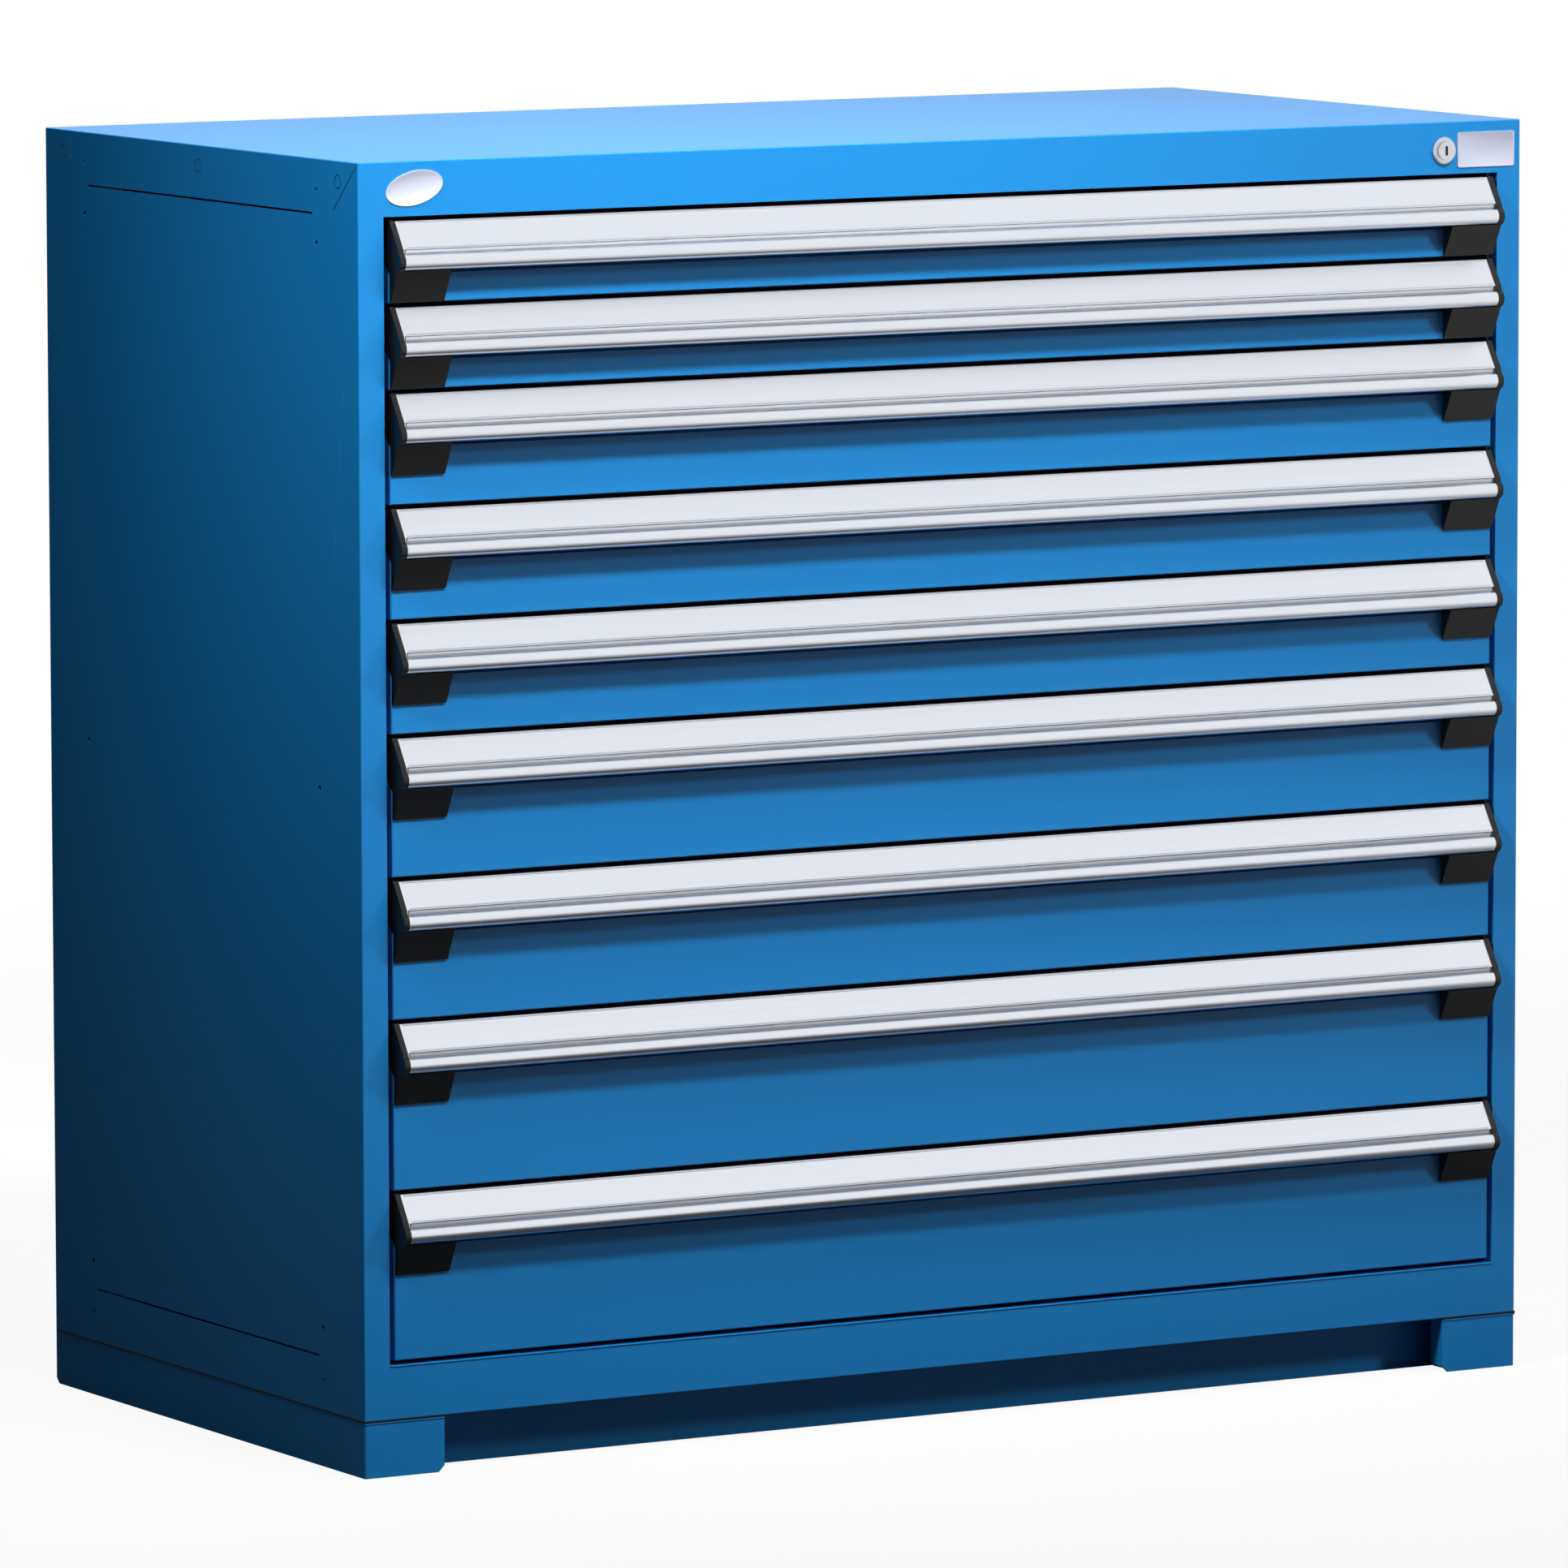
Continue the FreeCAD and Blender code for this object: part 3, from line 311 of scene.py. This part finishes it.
def extrude_aluminium(name, colour, line_colour):
    """Satin anodised extrusion: metal with fine lines along X, drawn coarse enough to show."""
    finish, shader, place = start_finish(name, {"Metallic": 1.0})
    wires = finish.node_tree.links
    across_scale = 1000 / DIE_LINE_MM
    along = add_node(finish, "ShaderNodeMapping",
                     values={"Scale": (1000 / DIE_LINE_LENGTH_MM, across_scale, across_scale)},
                     links={"Vector": place})
    lines = add_node(finish, "ShaderNodeTexNoise", values={"Scale": 1.0, "Detail": 3.0},
                     links={"Vector": along.outputs["Vector"]})
    shade = add_node(finish, "ShaderNodeMix", {"data_type": "RGBA"},
                     {"A": linear_colour(colour), "B": linear_colour(line_colour)},
                     {"Factor": lines.outputs["Fac"]})
    wires.new(shade.outputs["Result"], shader.inputs["Base Color"])
    gloss = add_node(finish, "ShaderNodeMapRange",
                     values={"To Min": ALUMINIUM_ROUGHNESS - ALUMINIUM_ROUGHNESS_SPREAD,
                             "To Max": ALUMINIUM_ROUGHNESS + ALUMINIUM_ROUGHNESS_SPREAD},
                     links={"Value": lines.outputs["Fac"]})
    wires.new(gloss.outputs["Result"], shader.inputs["Roughness"])
    ridges = add_node(finish, "ShaderNodeBump",
                      values={"Strength": DIE_LINE_STRENGTH, "Distance": DIE_LINE_DEPTH_MM / 1000},
                      links={"Height": lines.outputs["Fac"]})
    wires.new(ridges.outputs["Normal"], shader.inputs["Normal"])
    return finish


anodised_aluminium = extrude_aluminium("anodised_aluminium", ALUMINIUM, ALUMINIUM_LINE)
give_finish([drawer + "_handle" for drawer in drawers], anodised_aluminium)

# Label lips
# Two small lips of the extrusion run along the top and the foot of each label face, so that a label
# can be slid in from the end, and frame the bare metal. A grey cord laid in the groove under the face
# is painted shade: it draws the groove's shade as a soft grey line above the rolled nose.
LABEL_REACH = 0.0155
LABEL_DROP = 0.0236
LIP_RADIUS = 0.0006
LIP_INSET = 0.0012
LIP_END_GAP = 0.003
CORD_OUT = 0.0143
CORD_DROP = 0.026
CORD_HALF_HEIGHT = 0.0019
CORD_HALF_DEPTH = 0.0006
CORD_STEPS = 16
GROOVE_SHADE_GREY = "#c8cbd2"
GROOVE_SHADE_GREY_DARK = "#bdc1c9"
CORD_ROUGHNESS = 0.6
VINYL_IOR = 1.5
VINYL_MOTTLE_MM = 2.0


def vinyl_or_painted_shade(name, colour, shade_colour, roughness):
    """Calendered vinyl, or grey painted shade: smooth, even and soft in gloss,
    with a trace of mottle drawn coarse.
    """
    finish, shader, place = start_finish(name, {"IOR": VINYL_IOR, "Roughness": roughness})
    mottle = add_node(finish, "ShaderNodeTexNoise",
                      values={"Scale": 1000 / VINYL_MOTTLE_MM, "Detail": 4.0},
                      links={"Vector": place})
    shade = add_node(finish, "ShaderNodeMix", {"data_type": "RGBA"},
                     {"A": linear_colour(colour), "B": linear_colour(shade_colour)},
                     {"Factor": mottle.outputs["Fac"]})
    finish.node_tree.links.new(shade.outputs["Result"], shader.inputs["Base Color"])
    return finish


def cord_mesh(section, half_length):
    """A cord of one section, given as (Y, Z) points, along X."""
    ends = [[(end * half_length, back, up) for back, up in section] for end in (-1, 1)]
    count = len(section)
    faces = [tuple(range(count)), tuple(range(2 * count - 1, count - 1, -1))]
    for step in range(count):
        after = (step + 1) % count
        faces.append((step, count + step, count + after, after))
    mesh = bpy.data.meshes.new("cord")
    mesh.from_pydata(ends[0] + ends[1], [], faces)
    return mesh


# A grey cord in the groove under the label face: painted shade of the groove.
groove_shade_grey = vinyl_or_painted_shade("groove_shade_grey", GROOVE_SHADE_GREY, GROOVE_SHADE_GREY_DARK, CORD_ROUGHNESS)
slope = Vector((0.0, -LABEL_REACH, -LABEL_DROP))
slope_width = slope.length
down_slope = slope.normalized()
for drawer in drawers:
    handle_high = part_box(drawer + "_handle")[1]
    half_length = handle_high.x - LIP_END_GAP
    for lip_name, along_slope in (("top", LIP_INSET), ("low", slope_width - LIP_INSET)):
        middle = Vector((0.0, housing_front, handle_high.z)) + down_slope * along_slope
        lip = [middle + Vector((end * half_length, 0.0, 0.0)) for end in (-1, 1)]
        add_piece("%s_label_lip_%s" % (drawer, lip_name), line_mesh(lip, LIP_RADIUS), anodised_aluminium,
                  drawer)
    cord_section = []
    for step in range(CORD_STEPS):
        turn = math.tau * step / CORD_STEPS
        cord_section.append((housing_front - CORD_OUT + CORD_HALF_DEPTH * math.cos(turn),
                             handle_high.z - CORD_DROP + CORD_HALF_HEIGHT * math.sin(turn)))
    add_piece(drawer + "_painted_groove_shade", cord_mesh(cord_section, half_length), groove_shade_grey,
              drawer)

# End caps
# Injection-moulded black ABS, pressed into both ends of each handle. The mould's light grain keeps
# the black from shining except along its edges.
CAP_BLACK = "#0c0c0d"
CAP_BLACK_HIGH = "#121213"
CAP_ROUGHNESS = 0.46
MOULD_GRAIN_MM = 0.9

# The same black also draws the painted shade in the lock's key slot.
black_abs_and_keyway_shade = grain_black("black_abs_and_keyway_shade", CAP_BLACK, CAP_BLACK_HIGH, CAP_ROUGHNESS, MOULD_GRAIN_MM)
give_finish([drawer + "_end_caps" for drawer in drawers], black_abs_and_keyway_shade)

# Lock
# A die-cast and chromed cylinder lock with a turned ring, and behind the right stile the plated bar
# with its hooks. The chrome is satin, with the fine rings that turning leaves. A thin black plate
# in the key slot is painted shade: it draws the slot's shade as a dark upright line.
CHROME = "#e2e3e6"
CHROME_RING = "#d4d6da"
CHROME_ROUGHNESS_LOW = 0.34
CHROME_ROUGHNESS_HIGH = 0.44
TURNING_MM = 0.8
KEYWAY_SHADE_SIZE = (0.0026, 0.0092)
KEYWAY_SHADE_SHEET = 0.0003
KEYWAY_SHADE_RIM = 0.0003
KEYWAY_SHADE_SINK = 0.0001
CORNER_STEPS = 8
FACE_STEP_SHARE = 0.25
WELD_DISTANCE = 0.000001


def turn_chrome(name, colour, ring_colour):
    """Satin chrome on turned metal: faint bands, drawn coarser than the tool leaves them."""
    finish, shader, place = start_finish(name, {"Metallic": 1.0})
    wires = finish.node_tree.links
    bands = add_node(finish, "ShaderNodeTexNoise", values={"Scale": 1000 / TURNING_MM, "Detail": 2.0},
                     links={"Vector": place})
    shade = add_node(finish, "ShaderNodeMix", {"data_type": "RGBA"},
                     {"A": linear_colour(colour), "B": linear_colour(ring_colour)},
                     {"Factor": bands.outputs["Fac"]})
    wires.new(shade.outputs["Result"], shader.inputs["Base Color"])
    gloss = add_node(finish, "ShaderNodeMapRange",
                     values={"To Min": CHROME_ROUGHNESS_LOW, "To Max": CHROME_ROUGHNESS_HIGH},
                     links={"Value": bands.outputs["Fac"]})
    wires.new(gloss.outputs["Result"], shader.inputs["Roughness"])
    return finish


def round_corners(size, corner):
    """The outline of an upright plate with round corners, as (X, Z) points about its middle."""
    outline = []
    for across, up, start in ((1, 1, 0), (-1, 1, 90), (-1, -1, 180), (1, -1, 270)):
        middle = (across * (size[0] / 2 - corner), up * (size[1] / 2 - corner))
        for step in range(CORNER_STEPS + 1):
            turn = math.radians(start + 90 * step / CORNER_STEPS)
            outline.append((middle[0] + corner * math.cos(turn), middle[1] + corner * math.sin(turn)))
    return outline


def plate_mesh(outline, centre, behind, sheet, rim):
    """A thin upright plate that stands out from behind, with a rim round a slightly sunk face."""
    plate = bmesh.new()
    face = plate.faces.new([plate.verts.new((across, 0.0, up)) for across, up in outline])
    sides = bmesh.ops.extrude_face_region(plate, geom=[face])
    top = [item for item in sides["geom"] if isinstance(item, bmesh.types.BMFace)][0]
    bmesh.ops.translate(plate, vec=(0.0, -sheet, 0.0), verts=top.verts[:])
    bmesh.ops.inset_region(plate, faces=[top], thickness=rim, depth=0.0)
    bmesh.ops.inset_region(plate, faces=[top], thickness=rim * FACE_STEP_SHARE,
                           depth=-sheet * FACE_STEP_SHARE)
    bmesh.ops.remove_doubles(plate, verts=plate.verts[:], dist=WELD_DISTANCE)
    bmesh.ops.recalc_face_normals(plate, faces=plate.faces[:])
    bmesh.ops.translate(plate, vec=(centre[0], behind, centre[1]), verts=plate.verts[:])
    mesh = bpy.data.meshes.new("plate")
    plate.to_mesh(mesh)
    plate.free()
    return mesh


satin_chrome = turn_chrome("satin_chrome", CHROME, CHROME_RING)
give_finish(("lock_housing", "lock_plug"), satin_chrome)
ring_low, ring_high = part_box("lock_housing")
lock_centre = ((ring_low.x + ring_high.x) / 2, (ring_low.z + ring_high.z) / 2)
plug_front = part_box("lock_plug")[0].y
# A thin black plate in the key slot: painted shade of the open slot.
keyway_shade = plate_mesh(round_corners(KEYWAY_SHADE_SIZE, KEYWAY_SHADE_SIZE[0] / 2), lock_centre,
                     plug_front + KEYWAY_SHADE_SINK, KEYWAY_SHADE_SHEET, KEYWAY_SHADE_RIM)
add_piece("lock_painted_keyway_shade", keyway_shade, black_abs_and_keyway_shade, "lock_plug")
give_finish(("lock_bar", "lock_hooks"), zinc_plate)

# Blank plates on the top rail
# A small slanted oval badge at the left end and a notice plate at the right end are stuck to the coat.
# Both are blank: thin sheet faced with pale calendered vinyl, with a slightly raised rim.
BADGE_SIZE = (0.0575, 0.030)
BADGE_INSET = (0.0561, 0.0237)
BADGE_TILT = 12.0
BADGE_STEPS = 48
NOTICE_SIZE = (0.0625, 0.0325)
NOTICE_INSET = (0.0382, 0.0264)
NOTICE_CORNER = 0.002
PLATE_SHEET = 0.0008
PLATE_RIM = 0.0013
PLATE_WHITE = "#d9dcf0"
PLATE_SHADE = "#c2c7da"
PLATE_ROUGHNESS = 0.4

pale_vinyl = vinyl_or_painted_shade("pale_vinyl", PLATE_WHITE, PLATE_SHADE, PLATE_ROUGHNESS)
slant_cos = math.cos(math.radians(BADGE_TILT))
slant_sin = math.sin(math.radians(BADGE_TILT))
oval = []
for step in range(BADGE_STEPS):
    turn = math.tau * step / BADGE_STEPS
    along = BADGE_SIZE[0] / 2 * math.cos(turn)
    across = BADGE_SIZE[1] / 2 * math.sin(turn)
    oval.append((along * slant_cos - across * slant_sin, along * slant_sin + across * slant_cos))
badge_centre = (housing_low.x + BADGE_INSET[0], housing_high.z - BADGE_INSET[1])
badge = plate_mesh(oval, badge_centre, housing_front, PLATE_SHEET, PLATE_RIM)
add_piece("badge_plate", badge, pale_vinyl, "root")
notice_centre = (housing_high.x - NOTICE_INSET[0], housing_high.z - NOTICE_INSET[1])
notice = plate_mesh(round_corners(NOTICE_SIZE, NOTICE_CORNER), notice_centre, housing_front,
                    PLATE_SHEET, PLATE_RIM)
add_piece("notice_plate", notice, pale_vinyl, "root")

# Floor and room
# A matt white paper sweep in a white room. Both show white to the camera, and in reflections too,
# except low on the left behind the cabinet and on the floor close to it: that keeps the side sheets a
# deep blue. The paper keeps the cabinet's shadow.
FLOOR_HALF = 60.0
FLOOR_WHITE = "#fafafa"
FLOOR_DIM = "#4a4a4a"
FLOOR_ROUGHNESS = 0.9
FLOOR_SHADE_SHARE = 0.08
FLOOR_SHADE_REACH = (1.5, 4.0)
FLOOR_MIRROR_REACH = (0.5, 2.4)
ROOM_WHITE = "#ffffff"
ROOM_LIGHT = 0.01
DARK_SIDE = (-0.76, 0.62, -0.19)
DARK_FADE = (0.35, 0.75)


def white_share(finish, toward, reach=None):
    """1 to the camera, and in reflections and glass too, except low on the left behind the cabinet and,
    where a reach is given, nearer than that reach."""
    rays = add_node(finish, "ShaderNodeLightPath")
    mirrored = add_node(finish, "ShaderNodeMath", {"operation": "MAXIMUM"},
                        links={0: rays.outputs["Is Glossy Ray"], 1: rays.outputs["Is Transmission Ray"]})
    direction = add_node(finish, "ShaderNodeVectorMath", {"operation": "NORMALIZE"}, links={0: toward})
    facing = add_node(finish, "ShaderNodeVectorMath", {"operation": "DOT_PRODUCT"}, {1: DARK_SIDE},
                      {0: direction.outputs["Vector"]})
    fade = add_node(finish, "ShaderNodeMapRange", {"interpolation_type": "SMOOTHSTEP"},
                    {"From Min": DARK_FADE[0], "From Max": DARK_FADE[1], "To Min": 1.0, "To Max": 0.0},
                    {"Value": facing.outputs["Value"]})
    shown = add_node(finish, "ShaderNodeMath", {"operation": "MULTIPLY"},
                     links={0: mirrored.outputs["Value"], 1: fade.outputs["Result"]})
    if reach:
        length = add_node(finish, "ShaderNodeVectorMath", {"operation": "LENGTH"}, links={0: toward})
        far = add_node(finish, "ShaderNodeMapRange", {"interpolation_type": "SMOOTHSTEP"},
                       {"From Min": reach[0], "From Max": reach[1]}, {"Value": length.outputs["Value"]})
        shown = add_node(finish, "ShaderNodeMath", {"operation": "MULTIPLY"},
                         links={0: shown.outputs["Value"], 1: far.outputs["Result"]})
    either = add_node(finish, "ShaderNodeMath", {"operation": "MAXIMUM"},
                      links={0: rays.outputs["Is Camera Ray"], 1: shown.outputs["Value"]})
    return either.outputs["Value"]


room = bpy.data.worlds.new("white_room")
room.use_nodes = True
bpy.context.scene.world = room
room_wires = room.node_tree.links
plain_light = room.node_tree.nodes["Background"]
plain_light.inputs["Color"].default_value = linear_colour(ROOM_WHITE)
plain_light.inputs["Strength"].default_value = ROOM_LIGHT
view_direction = add_node(room, "ShaderNodeTexCoord").outputs["Generated"]
white_view = add_node(room, "ShaderNodeBackground",
                      values={"Color": linear_colour(ROOM_WHITE), "Strength": 1.0})
room_mix = add_node(room, "ShaderNodeMixShader", links={0: white_share(room, view_direction)})
room_wires.new(plain_light.outputs["Background"], room_mix.inputs[1])
room_wires.new(white_view.outputs["Background"], room_mix.inputs[2])
room_wires.new(room_mix.outputs["Shader"], room.node_tree.nodes["World Output"].inputs["Surface"])

matt_paper = {"Roughness": FLOOR_ROUGHNESS, "Specular IOR Level": 0.0}
white_sweep, sweep_shader, sweep_place = start_finish("white_sweep", matt_paper)
sweep_wires = white_sweep.node_tree.links
shown_white = white_share(white_sweep, sweep_place, FLOOR_MIRROR_REACH)
paper_shade = add_node(white_sweep, "ShaderNodeMix", {"data_type": "RGBA"},
                       {"A": linear_colour(FLOOR_DIM), "B": linear_colour(FLOOR_WHITE)},
                       {"Factor": shown_white})
sweep_wires.new(paper_shade.outputs["Result"], sweep_shader.inputs["Base Color"])
glow = add_node(white_sweep, "ShaderNodeEmission",
                values={"Color": linear_colour(ROOM_WHITE), "Strength": 1.0})
away = add_node(white_sweep, "ShaderNodeVectorMath", {"operation": "LENGTH"}, links={0: sweep_place})
shadeless = add_node(white_sweep, "ShaderNodeMapRange", {"interpolation_type": "SMOOTHSTEP"},
                     {"From Min": FLOOR_SHADE_REACH[0], "From Max": FLOOR_SHADE_REACH[1],
                      "To Min": 1.0 - FLOOR_SHADE_SHARE, "To Max": 1.0},
                     {"Value": away.outputs["Value"]})
glow_share = add_node(white_sweep, "ShaderNodeMath", {"operation": "MULTIPLY"},
                      links={0: shown_white, 1: shadeless.outputs["Result"]})
sweep_mix = add_node(white_sweep, "ShaderNodeMixShader", links={0: glow_share.outputs["Value"]})
sweep_wires.new(sweep_shader.outputs["BSDF"], sweep_mix.inputs[1])
sweep_wires.new(glow.outputs["Emission"], sweep_mix.inputs[2])
sweep_output = white_sweep.node_tree.nodes["Material Output"]
sweep_wires.new(sweep_mix.outputs["Shader"], sweep_output.inputs["Surface"])
sweep_mesh = bpy.data.meshes.new("floor")
sweep_corners = [(-FLOOR_HALF, -FLOOR_HALF, 0.0), (FLOOR_HALF, -FLOOR_HALF, 0.0),
                 (FLOOR_HALF, FLOOR_HALF, 0.0), (-FLOOR_HALF, FLOOR_HALF, 0.0)]
sweep_mesh.from_pydata(sweep_corners, [], [(0, 1, 2, 3)])
sweep_mesh.materials.append(white_sweep)
floor = bpy.data.objects.new("floor", sweep_mesh)
bpy.context.scene.collection.objects.link(floor)

# Lamps
# Four gridded soft boxes: a long one high in front, a small one far to the right, a small one high on
# the left and one low behind for the back. The grids keep the light on the upper half of the front,
# and the boxes are kept out of reflections. Each has a place, an aim, a size, watts and a grid angle.
LAMPS = (
    ("front_strip", (0.018, -2.313, 3.695), (-0.442, 0.053, 1.349), (2.4, 0.3), 22.8, 51.9),
    ("right_soft_box", (3.201, -2.750, 2.549), (0.321, -0.038, 0.781), (0.6, 0.6), 9.6, 72.4),
    ("left_soft_box", (-2.638, -1.230, 3.483), (0.061, -0.434, 0.921), (0.6, 0.6), 5.0, 36.3),
    ("rear_soft_box", (0.0, 3.600, 0.950), (0.0, 0.300, 0.600), (1.0, 0.8), 16.0, 70.0),
)

for lamp_name, lamp_place, lamp_aim, (lamp_width, lamp_height), watts, grid_angle in LAMPS:
    light = bpy.data.lights.new(lamp_name, "AREA")
    light.shape = "RECTANGLE"
    light.size = lamp_width
    light.size_y = lamp_height
    light.energy = watts
    light.spread = math.radians(grid_angle)
    lamp = bpy.data.objects.new(lamp_name, light)
    lamp.location = lamp_place
    lamp.visible_glossy = False
    lamp.rotation_euler = (Vector(lamp_aim) - Vector(lamp_place)).to_track_quat("-Z", "Y").to_euler()
    bpy.context.scene.collection.objects.link(lamp)

# Camera
# A long lens far to the left of the cabinet and a little above its top, looking slightly down. Its
# place and angles were solved from the cabinet's corners in the photograph.
CAMERA_PLACE = (-5.5585, -9.5976, 1.8356)
CAMERA_YAW = 30.035
CAMERA_PITCH = -6.583
CAMERA_ROLL = -0.112
CAMERA_LENS = 276.28
CAMERA_SENSOR = 36.0
CAMERA_REACH = 200.0

lens = bpy.data.cameras.new("camera")
lens.lens = CAMERA_LENS
lens.sensor_width = CAMERA_SENSOR
lens.sensor_fit = "HORIZONTAL"
lens.clip_end = CAMERA_REACH
camera = bpy.data.objects.new("camera", lens)
yaw = Matrix.Rotation(math.radians(-CAMERA_YAW), 4, "Z")
pitch = Matrix.Rotation(math.radians(90 + CAMERA_PITCH), 4, "X")
roll = Matrix.Rotation(math.radians(CAMERA_ROLL), 4, "Z")
camera.matrix_world = Matrix.Translation(CAMERA_PLACE) @ yaw @ pitch @ roll
bpy.context.scene.collection.objects.link(camera)
bpy.context.scene.camera = camera

bpy.context.scene.view_settings.view_transform = "Standard"
